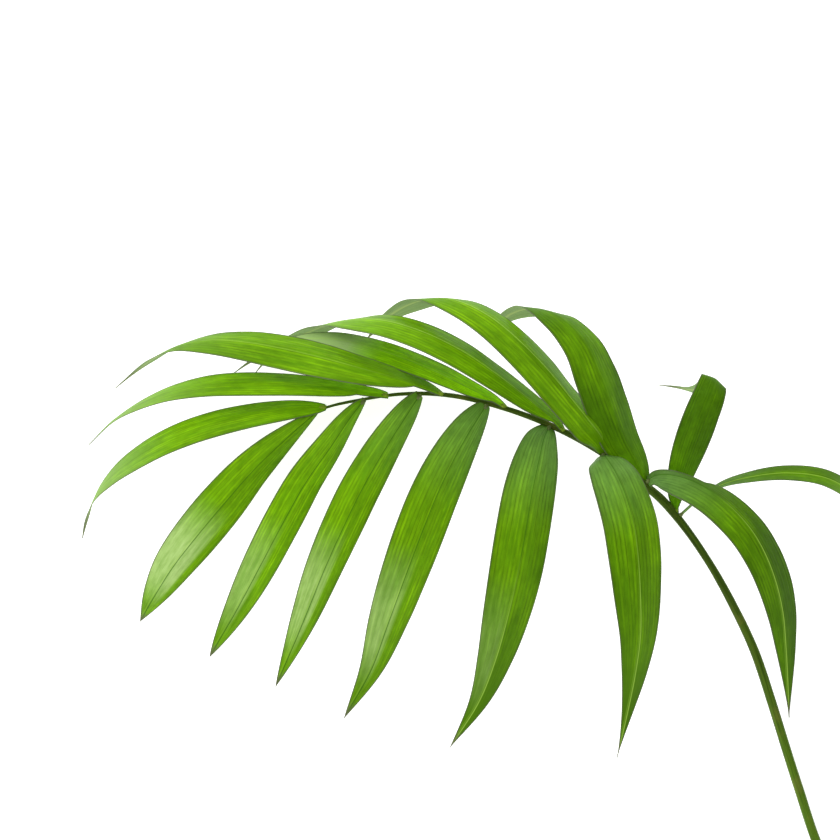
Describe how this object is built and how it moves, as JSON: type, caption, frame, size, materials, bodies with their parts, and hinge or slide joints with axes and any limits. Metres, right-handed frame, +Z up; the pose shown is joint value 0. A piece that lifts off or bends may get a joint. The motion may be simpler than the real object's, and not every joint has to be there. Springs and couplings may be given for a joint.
{
  "type": "parlour palm frond",
  "caption": "Cut parlour palm frond lying upper side up, with paired leaflets arching from a slim bent stalk, for arrangements and set dressing.",
  "frame": {"origin": "middle of the small flat under the stalk's cut end, where the stalk rests on the table", "axes": "+X along the frond from its leaf end to its cut end side, +Y across it towards the far leaflets, +Z up from the table out of the leaves' upper faces"},
  "size_m": [0.3887, 0.2569, 0.065],
  "materials": {
    "palm_leaf": null
  },
  "bodies": {
    "root": {"frond": "palm_leaf"}
  },
  "joints": []
}
